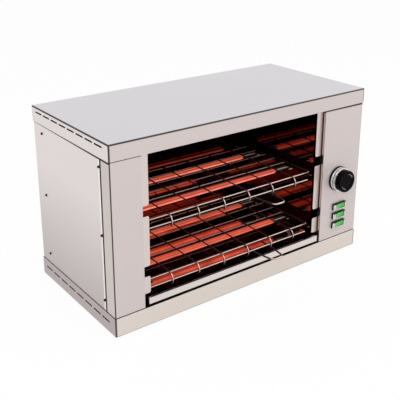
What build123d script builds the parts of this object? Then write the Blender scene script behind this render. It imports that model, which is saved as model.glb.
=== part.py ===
from build123d import *
import os

os.makedirs("parts", exist_ok=True)

# Cabinet sizes. All lengths are in millimetres.
CABINET_W = 530.0
CABINET_D = 255.0
CABINET_H = 312.0
SHEET = 1.0
COVER_BEND_R = 1.6
TOP_FLANGE_H = 26.5
BASE_FLANGE_H = 32.0
LEFT_PANEL_W = 54.5
CONTROL_PANEL_W = 95.5
WRAP_D = 28.4
RETURN_D = 6.0
TUCK = 8.0
TONGUE_D = 14.0
BACK_WRAP_D = 40.0

# Clearances
FACE_GAP = 0.1
SEAM_GAP = 0.6
SEAT_GAP = 0.2
PIN_GAP = 0.05
SCREW_GAP = 0.15

# Feet and screws
FOOT_H = 4.0
FOOT_R = 11.0
FOOT_RECESS_R = 5.0
FOOT_RECESS_H = 2.4
FOOT_INSET_X = 32.0
FOOT_INSET_Y = 38.0
SCREW_R = 1.5
SCREW_HEAD_R = 3.1
SCREW_HEAD_H = 1.6
SCREW_L = 6.0
SIDE_SCREW_COUNT = 3
SIDE_SCREW_BASE = 50.5
SIDE_SCREW_TOP = 42.0
SIDE_SCREW_SEAM = 3.2
SIDE_SCREW_BACK = 31.5
BACK_SCREW_INSET = 55.0
BACK_SCREW_COUNT = 3

# Vent slots in the side flanges and the back panel
VENT_COUNT = 8
VENT_GAP = 5.2
VENT_H = 2.8
VENT_FRONT = 18.0
VENT_BACK = 15.0
VENT_EDGE = 8.4
BASE_VENT_EDGE = 18.9
BACK_VENT_L = 34.0
BACK_VENT_W = 4.0
BACK_VENT_PITCH = 14.0
BACK_VENT_COUNT = 12
BACK_VENT_Z = 225.0

# Cavity
CAVITY_BACK_SPACE = 49.8
CAVITY_TOP_SPACE = 20.0
FRONT_FLANGE_W = 14.5
WALL_FOOT_W = 10.0
WALL_HEAD_W = 8.0
TRAY_SLOT_TOP = 52.5
NOTCH_H = 17.6
NOTCH_ABOVE_RACK = 12.6
NOTCH_R = 3.0

# Racks
LOWER_RACK_Z = 69.1
UPPER_RACK_SHARE = 0.4563
WIRE_R = 1.15
WELD = 0.4
RACK_SIDE_GAP = 1.5
CROSS_COUNT = 6
CROSS_END = 41.25
RACK_FRONT = 8.5
RACK_BACK_GAP = 10.0
BEND_R = 11.0
BEND_ANGLE = 135.0
FRONT_WIRE_SHORT = 12.0
LONG_FRONT = 63.6
LONG_COUNT = 5
HANDLE_WIRE_R = 1.5
HANDLE_OFFSET_X = 57.0
HANDLE_W = 36.0
HANDLE_TIP_W = 24.0
HANDLE_TIP_OUT = 32.0
HANDLE_LEG_IN = 34.0
HANDLE_TAPER_IN = 6.0
HANDLE_BEND_R = 9.0

# Rails and runners
RAIL_W = 22.0
RAIL_LIP_H = 9.0
RUNNER_W = 14.0
RUNNER_LIP_H = 8.0
RAIL_END_GAP = 3.0

# Crumb tray
TRAY_SIDE_GAP = 7.0
TRAY_LIFT = 5.0
TRAY_FRONT_H = 10.8
TRAY_WALL_H = 9.0
TRAY_BACK_GAP = 3.0
TRAY_LIP_D = 5.0

# Heating tubes
TUBE_R = 5.0
TUBE_BORE_R = 4.0
TUBE_BELOW_RACK = 11.3
TOP_TUBE_BELOW = 22.0
TUBE_SHARE = {"front": 0.375, "back": 0.846}
COIL_R = 3.2
COIL_END = 46.0
LEAD_R = 0.9
LEAD_OUT = 16.0
CAP_HEAD_R = 6.8
CAP_HEAD_L = 6.0
CAP_NECK_R = 6.2
CAP_NECK_L = 11.0
CAP_END_T = 3.0
CAP_GAP = 0.1

# Timer and knob
KNOB_LEFT = 7.25
KNOB_Z = 150.0
KNOB_R = 20.5
KNOB_L = 11.0
KNOB_FILLET = 2.0
KNOB_DISH_R = 14.0
KNOB_DISH_DEPTH = 0.8
POINTER_W = 1.4
POINTER_L = 3.2
POINTER_DEPTH = 0.5
SPIGOT_R = 17.0
RING_R = 22.5
RING_GROOVE_R = 21.2
RING_STEP = 3.2
RING_GROOVE = 1.2
DIAL_R = 23.2
DIAL_T = 4.5
DIAL_FILLET = 1.0
TIMER_W = 44.0
TIMER_D = 32.0
TIMER_BUSH_R = 4.8
SHAFT_R = 3.0
SHAFT_IN = 20.0

# Rocker switches
SWITCH_LEFT = 0.95
SWITCH_Z = (94.4, 76.2, 57.6)
BEZEL_W = 32.3
BEZEL_H = 12.6
BEZEL_OUT = 4.0
BEZEL_CORNER_R = 1.0
SWITCH_BODY_W = 29.6
SWITCH_BODY_H = 11.0
SWITCH_BODY_D = 22.0
ROCKER_W = 26.4
ROCKER_H = 8.6
ROCKER_GAP = 0.7
ROCKER_TILT = 7.0
ROCKER_HIGH = 5.4
ROCKER_LOW = 4.2
ROCKER_BACK = 1.2
PIVOT_IN = 0.6
PIVOT_R = 1.0
PIVOT_L = 0.8
SWITCH_WELL_D = 6.0

# Wiring
BLOCK_W = 36.0
BLOCK_D = 20.0
BLOCK_H = 16.0
BLOCK_POLES = 3
BLOCK_HOLE_R = 2.0
BLOCK_BACK = 65.0
BLOCK_FOOT_H = 2.0
GLAND_Z = 62.0
GLAND_THREAD_R = 7.9
GLAND_BORE_R = 4.2
GLAND_HEX_R = 11.5
GLAND_HEX_L = 5.0
GLAND_DOME_R = 9.5
GLAND_DOME_L = 7.0
GLAND_NUT_L = 4.0
GLAND_THREAD_IN = 8.0
LOOM_R = 1.6
LOOM_BEND_R = 8.0
LOOM_PITCH = 6.0

# The cabinet stands centred in the box that holds the handles and the gland.
HANDLE_REACH = HANDLE_TIP_OUT + HANDLE_WIRE_R
GLAND_REACH = GLAND_HEX_L + GLAND_DOME_L
Y_FRONT = HANDLE_REACH - (HANDLE_REACH + CABINET_D + GLAND_REACH) / 2
Y_BACK = Y_FRONT + CABINET_D
X_LEFT = -CABINET_W / 2
X_RIGHT = CABINET_W / 2
Z_BASE = FOOT_H
Z_TOP = Z_BASE + CABINET_H

# Panels lie behind the flanges of the cover and the base.
PANEL_IN = SHEET + FACE_GAP
INNER_IN = PANEL_IN + SHEET + FACE_GAP
PANEL_Z0 = Z_BASE + BASE_FLANGE_H - TUCK
PANEL_Z1 = Z_TOP - TOP_FLANGE_H + TUCK
PANEL_H = PANEL_Z1 - PANEL_Z0
FLOOR_Z = Z_BASE + SHEET
SIDE_COVER_Y0 = Y_FRONT + WRAP_D + SEAM_GAP
SIDE_COVER_Y1 = Y_BACK - PANEL_IN - SHEET - SEAM_GAP
VENT_PITCH = (CABINET_D - VENT_FRONT - VENT_BACK + VENT_GAP) / VENT_COUNT
VENT_L = VENT_PITCH - VENT_GAP

# The cavity fills the opening from edge to edge.
OPENING_W = CABINET_W - LEFT_PANEL_W - CONTROL_PANEL_W
EDGE = {"left": X_LEFT + LEFT_PANEL_W, "right": X_LEFT + LEFT_PANEL_W + OPENING_W}
INWARD = {"left": 1, "right": -1}
CAVITY_X = (EDGE["left"] + EDGE["right"]) / 2
CAVITY_Y0 = Y_FRONT + PANEL_IN + RETURN_D + FACE_GAP
CAVITY_Y1 = Y_BACK - CAVITY_BACK_SPACE
CAVITY_D = CAVITY_Y1 - CAVITY_Y0
CAVITY_Z1 = Z_TOP - CAVITY_TOP_SPACE

# Rack places follow the wires: long wires are welded under the cross wires.
RACK_ROOM = CAVITY_Z1 - Z_BASE - LOWER_RACK_Z
RACK_Z = {"upper": LOWER_RACK_Z + UPPER_RACK_SHARE * RACK_ROOM, "lower": LOWER_RACK_Z}
LONG_DROP = 2 * WIRE_R - WELD
RACK_HALF_W = OPENING_W / 2 - FRONT_FLANGE_W - RACK_SIDE_GAP
CROSS_PITCH = 2 * (RACK_HALF_W - WIRE_R - CROSS_END) / (CROSS_COUNT - 1)
BEND_Y = Y_FRONT + RACK_FRONT + WIRE_R + BEND_R
RACK_Y1 = CAVITY_Y1 - RACK_BACK_GAP
LONG_PITCH = (RACK_Y1 - LONG_DROP - BEND_Y - LONG_FRONT) / (LONG_COUNT - 1)
RAIL_TOP_BELOW = LONG_DROP + WIRE_R + SEAT_GAP

# Tray and tube places
TRAY_Z = Z_BASE + BASE_FLANGE_H + TRAY_LIFT
TRAY_HALF_W = OPENING_W / 2 - TRAY_SIDE_GAP
TUBE_Z = {
    "top": CAVITY_Z1 - TOP_TUBE_BELOW,
    "middle": Z_BASE + RACK_Z["upper"] - TUBE_BELOW_RACK,
    "bottom": Z_BASE + RACK_Z["lower"] - TUBE_BELOW_RACK,
}
TUBE_Y = {row: CAVITY_Y0 + share * CAVITY_D for row, share in TUBE_SHARE.items()}
TUBES = [(level, row) for level in TUBE_Z for row in TUBE_Y]

# Control places
PANEL_Y = Y_FRONT + PANEL_IN
CONTROL_X = X_RIGHT - CONTROL_PANEL_W / 2
KNOB_AT = (CONTROL_X - KNOB_LEFT, Z_BASE + KNOB_Z)
SWITCH_AT = [(CONTROL_X - SWITCH_LEFT, Z_BASE + z) for z in SWITCH_Z]
GLAND_AT = (CONTROL_X, Z_BASE + GLAND_Z)
SIDE_SCREW_PITCH = (CABINET_H - SIDE_SCREW_BASE - SIDE_SCREW_TOP) / (SIDE_SCREW_COUNT - 1)
SIDE_SCREW_AT = [
    (y, Z_BASE + SIDE_SCREW_BASE + i * SIDE_SCREW_PITCH)
    for y in (SIDE_COVER_Y0 + SIDE_SCREW_SEAM, Y_BACK - SIDE_SCREW_BACK)
    for i in range(SIDE_SCREW_COUNT)
]
BACK_SCREW_PITCH = (CABINET_W - 2 * BACK_SCREW_INSET) / (BACK_SCREW_COUNT - 1)
BACK_SCREW_AT = [
    ((i - (BACK_SCREW_COUNT - 1) / 2) * BACK_SCREW_PITCH, z)
    for i in range(BACK_SCREW_COUNT)
    for z in (PANEL_Z0 + TUCK / 2, PANEL_Z1 - TUCK / 2)
]
FOOT_AT = [
    (sx * (CABINET_W / 2 - FOOT_INSET_X), (Y_FRONT + Y_BACK) / 2 + sy * (CABINET_D / 2 - FOOT_INSET_Y))
    for sx in (-1, 1)
    for sy in (-1, 1)
]


def finish(part, name):
    """Label a finished part and write its STEP file."""
    part.label = name
    export_step(part, f"parts/{name}.step")


def front_plane(y):
    """A sketch plane at depth y that faces the front, with X right and Z up."""
    return Plane.XZ.offset(-y)


def block(x0, x1, y0, y1, z0, z1, mode=Mode.ADD):
    """Add or cut a box between two corners."""
    with BuildSketch(Plane.XY.offset(z0)) as base:
        with Locations(((x0 + x1) / 2, (y0 + y1) / 2)):
            Rectangle(x1 - x0, y1 - y0)
    extrude(base.sketch, amount=z1 - z0, mode=mode)


def bent_sheet(points, side, plane, length):
    """Fold a sheet along the points of one face and extrude it."""
    with BuildSketch(plane) as section:
        with BuildLine():
            Polyline(*points)
            offset(amount=SHEET, side=side, kind=Kind.INTERSECTION)
        make_face()
    extrude(section.sketch, amount=length)


def cut_side_vents(z):
    """Cut the row of slots through both side flanges at one height."""
    first = Y_FRONT + VENT_FRONT + VENT_L / 2
    with BuildSketch(Plane.YZ.offset(X_LEFT - SHEET)) as slots:
        with Locations(*[(first + i * VENT_PITCH, z) for i in range(VENT_COUNT)]):
            SlotOverall(VENT_L, VENT_H)
    extrude(slots.sketch, amount=CABINET_W + 2 * SHEET, mode=Mode.SUBTRACT)


def cut_side_screws():
    """Cut the side screws' holes through the part being built."""
    with BuildSketch(Plane.YZ.offset(X_LEFT - SHEET)) as holes:
        with Locations(*SIDE_SCREW_AT):
            Circle(SCREW_R + SCREW_GAP)
    extrude(holes.sketch, amount=CABINET_W + 2 * SHEET, mode=Mode.SUBTRACT)


def cut_back_screws():
    """Cut the back screws' holes through the back of the part being built."""
    with BuildSketch(front_plane(Y_BACK + SHEET)) as holes:
        with Locations(*BACK_SCREW_AT):
            Circle(SCREW_R + SCREW_GAP)
    extrude(holes.sketch, amount=BACK_WRAP_D / 2, mode=Mode.SUBTRACT)


# Top cover: a folded lid with a flange on all four sides
with BuildPart() as top_cover:
    block(X_LEFT, X_RIGHT, Y_FRONT, Y_BACK, Z_TOP - TOP_FLANGE_H, Z_TOP)
    fillet(top_cover.edges().filter_by(Axis.Z), COVER_BEND_R)
    fillet(top_cover.faces().sort_by(Axis.Z)[-1].edges(), COVER_BEND_R)
    offset(amount=-SHEET, openings=top_cover.faces().sort_by(Axis.Z)[0])
    cut_side_vents(Z_TOP - VENT_EDGE)
    cut_back_screws()
finish(top_cover.part, "top_cover")

# Base tray: a folded floor with a flange on all four sides
with BuildPart() as base_tray:
    block(X_LEFT, X_RIGHT, Y_FRONT, Y_BACK, Z_BASE, Z_BASE + BASE_FLANGE_H)
    fillet(base_tray.edges().filter_by(Axis.Z), COVER_BEND_R)
    fillet(base_tray.faces().sort_by(Axis.Z)[0].edges(), COVER_BEND_R)
    offset(amount=-SHEET, openings=base_tray.faces().sort_by(Axis.Z)[-1])
    cut_side_vents(Z_BASE + BASE_VENT_EDGE)
    cut_back_screws()
    with BuildSketch(Plane.XY.offset(Z_BASE - SHEET)):
        with Locations(*FOOT_AT):
            Circle(SCREW_R + SCREW_GAP)
    extrude(amount=3 * SHEET, mode=Mode.SUBTRACT)
finish(base_tray.part, "base_tray")


def front_panel_points(side):
    """The outer face of a front panel in plan, from its return to its tongue."""
    out = INWARD[side]
    face_x = X_LEFT if side == "left" else X_RIGHT
    wrap_y = Y_FRONT + WRAP_D
    step = SHEET + FACE_GAP
    return [
        (EDGE[side], PANEL_Y + RETURN_D),
        (EDGE[side], PANEL_Y),
        (face_x + out * PANEL_IN, PANEL_Y),
        (face_x + out * PANEL_IN, wrap_y - step),
        (face_x + out * (PANEL_IN + step), wrap_y),
        (face_x + out * (PANEL_IN + step), wrap_y + TONGUE_D),
    ]


def round_front_corner(panel, side):
    """Round the bend between a front panel's face and its wrap, inside and out."""
    face_x = X_LEFT if side == "left" else X_RIGHT
    for inset, radius in ((PANEL_IN + SHEET, COVER_BEND_R - SHEET), (PANEL_IN, COVER_BEND_R)):
        corner = (face_x + INWARD[side] * inset, Y_FRONT + inset, (PANEL_Z0 + PANEL_Z1) / 2)
        fillet(panel.edges().filter_by(Axis.Z).sort_by_distance(corner)[0], radius)


# Left front panel: wraps the corner and carries the side cover's front screws
with BuildPart() as left_front_panel:
    bent_sheet(front_panel_points("left"), Side.RIGHT, Plane.XY.offset(PANEL_Z0), PANEL_H)
    round_front_corner(left_front_panel, "left")
    cut_side_screws()
finish(left_front_panel.part, "left_front_panel")

# Control panel: the right front panel, with the timer's hole and the switches' cut-outs
with BuildPart() as control_panel:
    bent_sheet(front_panel_points("right"), Side.LEFT, Plane.XY.offset(PANEL_Z0), PANEL_H)
    round_front_corner(control_panel, "right")
    cut_side_screws()
    with BuildSketch(front_plane(PANEL_Y + 2 * SHEET)):
        with Locations(KNOB_AT):
            Circle(TIMER_BUSH_R + SCREW_GAP)
        with Locations(*SWITCH_AT):
            Rectangle(SWITCH_BODY_W + 2 * SEAT_GAP, SWITCH_BODY_H + 2 * SEAT_GAP)
    extrude(amount=3 * SHEET, mode=Mode.SUBTRACT)
finish(control_panel.part, "control_panel")

# Side covers: flat sheets between the flanges, held by six screws each
for side in EDGE:
    inner_x = (X_LEFT if side == "left" else X_RIGHT) + INWARD[side] * (PANEL_IN + SHEET / 2)
    with BuildPart() as side_cover:
        block(
            inner_x - SHEET / 2, inner_x + SHEET / 2, SIDE_COVER_Y0, SIDE_COVER_Y1, PANEL_Z0, PANEL_Z1
        )
        cut_side_screws()
    finish(side_cover.part, f"{side}_side_cover")

# Back panel: a wide channel whose sides take the side covers' back screws
with BuildPart() as back_panel:
    bent_sheet(
        [
            (X_LEFT + INNER_IN, Y_BACK - BACK_WRAP_D),
            (X_LEFT + INNER_IN, Y_BACK - PANEL_IN),
            (X_RIGHT - INNER_IN, Y_BACK - PANEL_IN),
            (X_RIGHT - INNER_IN, Y_BACK - BACK_WRAP_D),
        ],
        Side.RIGHT,
        Plane.XY.offset(PANEL_Z0),
        PANEL_H,
    )
    cut_side_screws()
    cut_back_screws()
    with BuildSketch(front_plane(Y_BACK)):
        with Locations((0, Z_BASE + BACK_VENT_Z)):
            with GridLocations(BACK_VENT_PITCH, BACK_VENT_L, BACK_VENT_COUNT, 1):
                SlotOverall(BACK_VENT_L, BACK_VENT_W, rotation=90)
        with Locations(GLAND_AT):
            Circle(GLAND_THREAD_R + SCREW_GAP)
    extrude(amount=INNER_IN + SHEET, mode=Mode.SUBTRACT)
finish(back_panel.part, "back_panel")

# Cavity side walls: mirror sheets with a notched front flange and the tubes' holes
for side in EDGE:
    inward = INWARD[side]
    outer_x = EDGE[side] - inward * SHEET
    tip_x = EDGE[side] + inward * FRONT_FLANGE_W
    with BuildPart() as cavity_wall:
        bent_sheet(
            [(tip_x, CAVITY_Y0), (outer_x, CAVITY_Y0), (outer_x, CAVITY_Y1)],
            Side.RIGHT if side == "left" else Side.LEFT,
            Plane.XY.offset(FLOOR_Z + FACE_GAP),
            CAVITY_Z1 - FLOOR_Z - FACE_GAP,
        )
        foot_x = sorted((outer_x - inward * WALL_FOOT_W, EDGE[side]))
        head_x = sorted((outer_x - inward * WALL_HEAD_W, EDGE[side]))
        block(*foot_x, CAVITY_Y0, CAVITY_Y1, FLOOR_Z + FACE_GAP, FLOOR_Z + FACE_GAP + SHEET)
        block(*head_x, CAVITY_Y0, CAVITY_Y1, CAVITY_Z1 - SHEET, CAVITY_Z1)
        with BuildSketch(front_plane(CAVITY_Y0 + SHEET)):
            with Locations((tip_x, (FLOOR_Z + Z_BASE + TRAY_SLOT_TOP) / 2)):
                Rectangle(2 * FRONT_FLANGE_W, Z_BASE + TRAY_SLOT_TOP - FLOOR_Z)
            for z in RACK_Z.values():
                with Locations((tip_x, Z_BASE + z + NOTCH_ABOVE_RACK + NOTCH_H / 2)):
                    Rectangle(2 * FRONT_FLANGE_W, NOTCH_H)
        extrude(amount=2 * SHEET, mode=Mode.SUBTRACT)
        with BuildSketch(Plane.YZ.offset(EDGE[side] - 2 * SHEET)):
            with Locations(*[(TUBE_Y[row], TUBE_Z[level]) for level, row in TUBES]):
                Circle(CAP_NECK_R + CAP_GAP)
        extrude(amount=4 * SHEET, mode=Mode.SUBTRACT)
        corners = cavity_wall.edges().filter_by(Axis.Y)
        fillet(corners.filter_by(lambda e: abs(e.center().X - tip_x) < FACE_GAP), NOTCH_R)
    finish(cavity_wall.part, f"cavity_{side}_wall")

# Cavity back wall
with BuildPart() as cavity_back_wall:
    block(
        EDGE["left"] - WALL_FOOT_W,
        EDGE["right"] + WALL_FOOT_W,
        CAVITY_Y1 + FACE_GAP,
        CAVITY_Y1 + FACE_GAP + SHEET,
        FLOOR_Z + FACE_GAP,
        CAVITY_Z1,
    )
finish(cavity_back_wall.part, "cavity_back_wall")

# Cavity ceiling: a reflector sheet on the walls' head flanges
with BuildPart() as cavity_ceiling:
    block(
        EDGE["left"] - WALL_HEAD_W,
        EDGE["right"] + WALL_HEAD_W,
        CAVITY_Y0,
        CAVITY_Y1 + FACE_GAP + SHEET,
        CAVITY_Z1 + FACE_GAP,
        CAVITY_Z1 + FACE_GAP + SHEET,
    )
    fillet(cavity_ceiling.edges().filter_by(Axis.Z), NOTCH_R)
finish(cavity_ceiling.part, "cavity_ceiling")


def ledge(side, top_z, width, lip):
    """An angle on a cavity wall whose flat carries a rack or the tray."""
    x0 = EDGE[side] + INWARD[side] * FACE_GAP
    bent_sheet(
        [(x0, top_z - SHEET + lip), (x0, top_z - SHEET), (x0 + INWARD[side] * width, top_z - SHEET)],
        Side.LEFT if side == "left" else Side.RIGHT,
        front_plane(CAVITY_Y1 - RAIL_END_GAP),
        CAVITY_D - SHEET - 2 * RAIL_END_GAP,
    )


# Rack rails and tray runners: angles on the cavity walls
for side in EDGE:
    for shelf, rack_z in RACK_Z.items():
        with BuildPart() as rail:
            ledge(side, Z_BASE + rack_z - RAIL_TOP_BELOW, RAIL_W, RAIL_LIP_H)
        finish(rail.part, f"{shelf}_rack_rail_{side}")
    with BuildPart() as runner:
        ledge(side, TRAY_Z - SEAT_GAP, RUNNER_W, RUNNER_LIP_H)
    finish(runner.part, f"tray_runner_{side}")


def long_wire(y, z, short=0.0):
    """A rack wire along X, short of the rack's right side, welded into the part being built."""
    with BuildSketch(Plane.YZ.offset(CAVITY_X - RACK_HALF_W)) as section:
        with Locations((y, z)):
            Circle(WIRE_R)
    extrude(section.sketch, amount=2 * RACK_HALF_W - short)


# Racks: cross wires that bend down at the front over two long wires
for shelf in RACK_Z:
    plane_z = Z_BASE + RACK_Z[shelf]
    inner_r = BEND_R - LONG_DROP
    with BuildPart() as rack:
        for i in range(CROSS_COUNT):
            cross_x = CAVITY_X + (i - (CROSS_COUNT - 1) / 2) * CROSS_PITCH
            with BuildLine(Plane.YZ.offset(cross_x)) as path:
                flat = Line((RACK_Y1, plane_z), (BEND_Y, plane_z))
                JernArc(flat @ 1, flat % 1, BEND_R, BEND_ANGLE)
            with BuildSketch(Plane(origin=path.line @ 0, z_dir=path.line % 0)):
                Circle(WIRE_R)
            sweep()
        long_wire(BEND_Y - inner_r, plane_z - BEND_R, FRONT_WIRE_SHORT)
        long_wire(BEND_Y, plane_z - LONG_DROP)
        for i in range(LONG_COUNT):
            long_wire(RACK_Y1 - LONG_DROP - i * LONG_PITCH, plane_z - LONG_DROP)
        with BuildSketch(front_plane(RACK_Y1)):
            with Locations(*[(CAVITY_X + s * (RACK_HALF_W - WIRE_R), plane_z) for s in (-1, 1)]):
                Circle(WIRE_R)
        extrude(amount=RACK_Y1 - BEND_Y)
    finish(rack.part, f"{shelf}_rack")

# Rack handles: a wire loop welded under the lower front wire
for shelf in RACK_Z:
    front_wire_z = Z_BASE + RACK_Z[shelf] - BEND_R
    handle_z = front_wire_z - WIRE_R - HANDLE_WIRE_R - PIN_GAP
    handle_x = CAVITY_X + HANDLE_OFFSET_X
    with BuildPart() as handle:
        with BuildLine(Plane.XY.offset(handle_z)) as loop:
            FilletPolyline(
                (handle_x - HANDLE_W / 2, Y_FRONT + HANDLE_LEG_IN),
                (handle_x - HANDLE_W / 2, Y_FRONT + HANDLE_TAPER_IN),
                (handle_x - HANDLE_TIP_W / 2, Y_FRONT - HANDLE_TIP_OUT),
                (handle_x + HANDLE_TIP_W / 2, Y_FRONT - HANDLE_TIP_OUT),
                (handle_x + HANDLE_W / 2, Y_FRONT + HANDLE_TAPER_IN),
                (handle_x + HANDLE_W / 2, Y_FRONT + HANDLE_LEG_IN),
                radius=HANDLE_BEND_R,
            )
        with BuildSketch(Plane(origin=loop.line @ 0, z_dir=loop.line % 0)):
            Circle(HANDLE_WIRE_R)
        sweep()
    finish(handle.part, f"{shelf}_rack_handle")

# Crumb tray: a shallow pan behind a taller front
with BuildPart() as crumb_tray:
    tray_x0 = CAVITY_X - TRAY_HALF_W
    tray_x1 = CAVITY_X + TRAY_HALF_W
    block(tray_x0, tray_x1, Y_FRONT, CAVITY_Y1 - TRAY_BACK_GAP, TRAY_Z, TRAY_Z + TRAY_WALL_H)
    offset(amount=-SHEET, openings=crumb_tray.faces().sort_by(Axis.Z)[-1])
    block(tray_x0, tray_x1, Y_FRONT, Y_FRONT + SHEET, TRAY_Z, TRAY_Z + TRAY_FRONT_H)
    block(
        tray_x0,
        tray_x1,
        Y_FRONT,
        Y_FRONT + TRAY_LIP_D,
        TRAY_Z + TRAY_FRONT_H - SHEET,
        TRAY_Z + TRAY_FRONT_H,
    )
finish(crumb_tray.part, "crumb_tray")

# Quartz tubes, their coils and their ceramic end caps
for level, row in TUBES:
    tube_y = TUBE_Y[row]
    tube_z = TUBE_Z[level]
    tube_at = (tube_y, tube_z)
    tube_end = SHEET + CAP_NECK_L - CAP_END_T - CAP_GAP
    with BuildPart() as quartz_tube:
        with BuildSketch(Plane.YZ.offset(EDGE["left"] - tube_end)):
            with Locations(tube_at):
                Circle(TUBE_R)
                Circle(TUBE_BORE_R, mode=Mode.SUBTRACT)
        extrude(amount=OPENING_W + 2 * tube_end)
    finish(quartz_tube.part, f"quartz_tube_{level}_{row}")

    with BuildPart() as heating_coil:
        with BuildSketch(Plane.YZ.offset(EDGE["left"] - LEAD_OUT)):
            with Locations(tube_at):
                Circle(LEAD_R)
        extrude(amount=OPENING_W + 2 * LEAD_OUT)
        with BuildSketch(Plane.YZ.offset(EDGE["left"] + COIL_END)):
            with Locations(tube_at):
                Circle(COIL_R)
        extrude(amount=OPENING_W - 2 * COIL_END)
    finish(heating_coil.part, f"heating_coil_{level}_{row}")

    with BuildPart() as end_caps:
        for side in EDGE:
            inward = INWARD[side]
            head_plane = Plane(
                origin=(EDGE[side] + inward * (FACE_GAP + CAP_HEAD_L), tube_y, tube_z),
                x_dir=(0, 1, 0),
                z_dir=(-inward, 0, 0),
            )
            with BuildSketch(head_plane):
                Circle(CAP_HEAD_R)
            extrude(amount=CAP_HEAD_L)
            with BuildSketch(head_plane):
                Circle(CAP_NECK_R)
            extrude(amount=CAP_HEAD_L + FACE_GAP + SHEET + CAP_NECK_L)
            with BuildSketch(head_plane):
                Circle(TUBE_R + CAP_GAP)
            extrude(
                amount=CAP_HEAD_L + FACE_GAP + SHEET + CAP_NECK_L - CAP_END_T, mode=Mode.SUBTRACT
            )
            with BuildSketch(head_plane):
                Circle(LEAD_R + CAP_GAP)
            extrude(
                amount=CAP_HEAD_L + FACE_GAP + SHEET + CAP_NECK_L, mode=Mode.SUBTRACT
            )
    finish(end_caps.part, f"end_caps_{level}_{row}")

# Timer body: a drum case behind the panel with a bush through it
bush_front = PANEL_Y - DIAL_T
with BuildPart() as timer_body:
    with BuildSketch(front_plane(PANEL_Y + SHEET + FACE_GAP + TIMER_D)):
        with Locations(KNOB_AT):
            RectangleRounded(TIMER_W, TIMER_W, COVER_BEND_R)
    extrude(amount=TIMER_D)
    with BuildSketch(front_plane(PANEL_Y + SHEET + FACE_GAP)):
        with Locations(KNOB_AT):
            Circle(TIMER_BUSH_R)
    extrude(amount=SHEET + FACE_GAP + DIAL_T)
    with BuildSketch(front_plane(bush_front)):
        with Locations(KNOB_AT):
            Circle(SHAFT_R + PIN_GAP)
    extrude(amount=-(SHAFT_IN + PIN_GAP), mode=Mode.SUBTRACT)
finish(timer_body.part, "timer_body")

# Dial plate: the black collar between the panel and the knob
with BuildPart() as dial_plate:
    with BuildSketch(front_plane(PANEL_Y - FACE_GAP)):
        with Locations(KNOB_AT):
            Circle(DIAL_R)
    extrude(amount=DIAL_T - FACE_GAP)
    fillet(dial_plate.faces().sort_by(Axis.Y)[0].edges(), DIAL_FILLET)
    with BuildSketch(front_plane(PANEL_Y - FACE_GAP)):
        with Locations(KNOB_AT):
            Circle(TIMER_BUSH_R + SCREW_GAP)
    extrude(amount=DIAL_T, mode=Mode.SUBTRACT)
finish(dial_plate.part, "dial_plate")

# Knob ring: a stepped chrome skirt behind the grip
ring_back = bush_front - SEAT_GAP
ring_l = 2 * RING_STEP + RING_GROOVE
with BuildPart() as knob_ring:
    with BuildSketch(front_plane(ring_back)):
        with Locations(KNOB_AT):
            Circle(RING_R)
    extrude(amount=RING_STEP)
    with BuildSketch(front_plane(ring_back - RING_STEP)):
        with Locations(KNOB_AT):
            Circle(RING_GROOVE_R)
    extrude(amount=RING_GROOVE)
    with BuildSketch(front_plane(ring_back - RING_STEP - RING_GROOVE)):
        with Locations(KNOB_AT):
            Circle(RING_R)
    extrude(amount=RING_STEP, taper=12)
    with BuildSketch(front_plane(ring_back)):
        with Locations(KNOB_AT):
            Circle(SPIGOT_R + CAP_GAP)
    extrude(amount=ring_l, mode=Mode.SUBTRACT)
finish(knob_ring.part, "knob_ring")

# Knob: a round grip on a spigot that carries the ring
grip_back = ring_back - ring_l - FACE_GAP
with BuildPart() as knob:
    with BuildSketch(front_plane(ring_back)):
        with Locations(KNOB_AT):
            Circle(SPIGOT_R)
    extrude(amount=ring_l + FACE_GAP)
    with BuildSketch(front_plane(grip_back)):
        with Locations(KNOB_AT):
            Circle(KNOB_R)
    extrude(amount=KNOB_L)
    fillet(knob.faces().sort_by(Axis.Y)[0].edges(), KNOB_FILLET)
    with BuildSketch(front_plane(grip_back - KNOB_L)):
        with Locations(KNOB_AT):
            Circle(KNOB_DISH_R)
    extrude(amount=-KNOB_DISH_DEPTH, mode=Mode.SUBTRACT)
    with BuildSketch(front_plane(grip_back - KNOB_L)):
        with Locations((KNOB_AT[0], KNOB_AT[1] + (KNOB_DISH_R + KNOB_R) / 2)):
            Rectangle(POINTER_W, POINTER_L)
    extrude(amount=-POINTER_DEPTH, mode=Mode.SUBTRACT)
    with BuildSketch(front_plane(ring_back)):
        with Locations(KNOB_AT):
            Circle(SHAFT_R + PIN_GAP)
    extrude(amount=ring_l + KNOB_L / 2, mode=Mode.SUBTRACT)
finish(knob.part, "knob")

# Timer shaft: runs in the bush and carries the knob
with BuildPart() as timer_shaft:
    with BuildSketch(front_plane(bush_front + SHAFT_IN)):
        with Locations(KNOB_AT):
            Circle(SHAFT_R)
    extrude(amount=SHAFT_IN + SEAT_GAP + ring_l + KNOB_L / 2 - SEAT_GAP)
finish(timer_shaft.part, "timer_shaft")

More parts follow.
